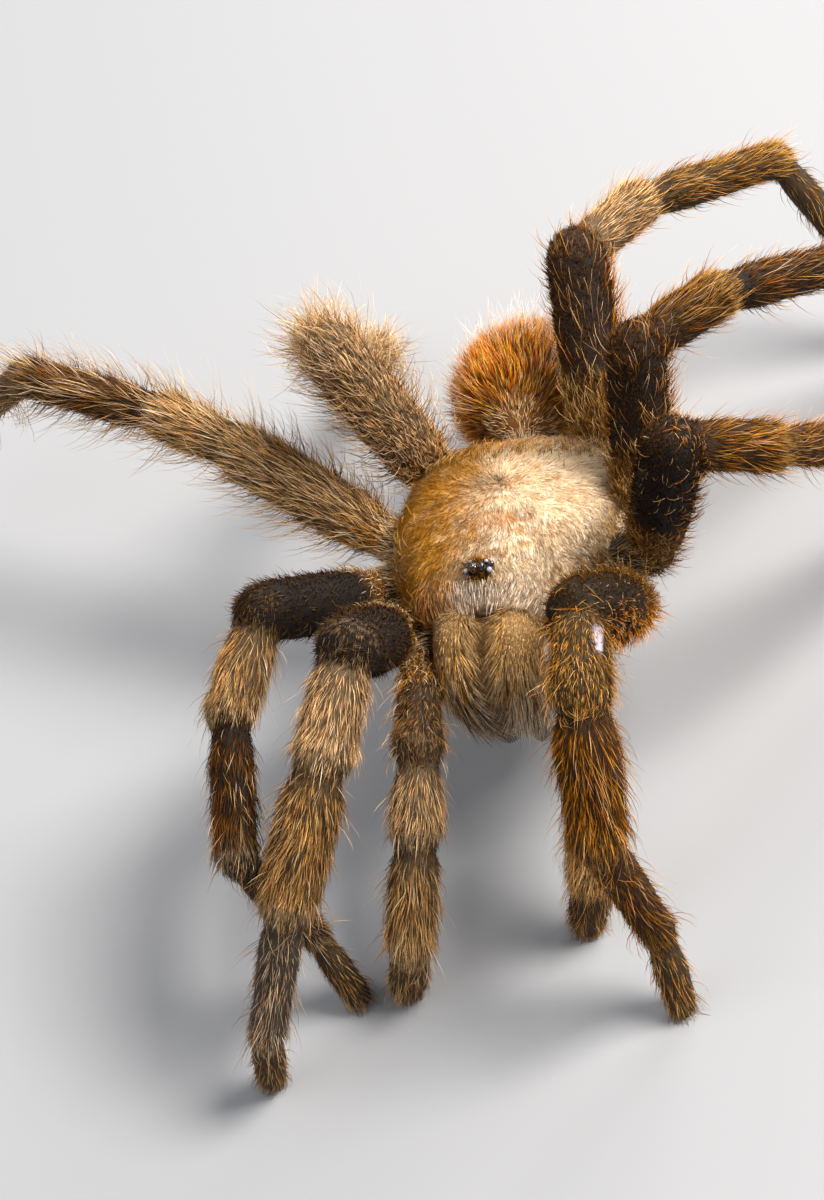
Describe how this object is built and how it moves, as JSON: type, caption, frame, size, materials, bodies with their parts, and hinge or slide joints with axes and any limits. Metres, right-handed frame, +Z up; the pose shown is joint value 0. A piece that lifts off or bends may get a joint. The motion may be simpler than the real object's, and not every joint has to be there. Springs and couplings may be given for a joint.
{
  "type": "tarantula",
  "caption": "Still, life-size brown tarantula with a velvety carapace and long hairy legs, standing in mid-step with one leg lifted.",
  "frame": {"origin": "on the ground under the middle of the whole model", "axes": "+Z up, head towards -Y, the spider's left side towards +X"},
  "size_m": [0.0898, 0.076, 0.0309],
  "materials": {
    "carapace_velvet": "short golden-tan velvet of hair",
    "abdomen_hair": "long upright brown and rust-orange hair with pale tips",
    "jaw_hair": "golden short hair above, long hanging hair below",
    "limb_hair": "brown hair with long curved orange and pale bristles",
    "foot_hair": "dense dark brown hair",
    "underside_hair": "dark short hair",
    "eye": "shiny black bead",
    "fang": "glossy black horn"
  },
  "bodies": {
    "root": {"abdomen": "abdomen_hair", "carapace": "carapace_velvet", "chelicera_left": "jaw_hair", "chelicera_right": "jaw_hair", "eye_front_lateral_left": "eye", "eye_front_lateral_right": "eye", "eye_front_median_left": "eye", "eye_front_median_right": "eye", "eye_rear_lateral_left": "eye", "eye_rear_lateral_right": "eye", "eye_rear_median_left": "eye", "eye_rear_median_right": "eye", "eye_tubercle": "carapace_velvet", "fang_left": "fang", "fang_right": "fang", "leg1_coxa_left": "underside_hair", "leg1_coxa_right": "underside_hair", "leg1_femur_left": "limb_hair", "leg1_femur_right": "limb_hair", "leg1_foot_left": "foot_hair", "leg1_foot_right": "foot_hair", "leg1_shank_left": "limb_hair", "leg1_shank_right": "limb_hair", "leg2_coxa_left": "underside_hair", "leg2_coxa_right": "underside_hair", "leg2_femur_left": "limb_hair", "leg2_femur_right": "limb_hair", "leg2_foot_left": "foot_hair", "leg2_foot_right": "foot_hair", "leg2_shank_left": "limb_hair", "leg2_shank_right": "limb_hair", "leg3_coxa_left": "underside_hair", "leg3_coxa_right": "underside_hair", "leg3_femur_left": "limb_hair", "leg3_femur_right": "limb_hair", "leg3_foot_left": "foot_hair", "leg3_foot_right": "foot_hair", "leg3_shank_left": "limb_hair", "leg3_shank_right": "limb_hair", "leg4_coxa_left": "underside_hair", "leg4_coxa_right": "underside_hair", "leg4_femur_left": "limb_hair", "leg4_femur_right": "limb_hair", "leg4_foot_left": "foot_hair", "leg4_foot_right": "foot_hair", "leg4_shank_left": "limb_hair", "leg4_shank_right": "limb_hair", "palp_coxa_left": "underside_hair", "palp_coxa_right": "underside_hair", "palp_femur_left": "limb_hair", "palp_femur_right": "limb_hair", "palp_shank_left": "limb_hair", "palp_shank_right": "limb_hair", "palp_tarsus_left": "foot_hair", "palp_tarsus_right": "foot_hair", "pedicel": "underside_hair", "spinneret_left": "abdomen_hair", "spinneret_right": "abdomen_hair", "sternum": "underside_hair"}
  },
  "joints": []
}
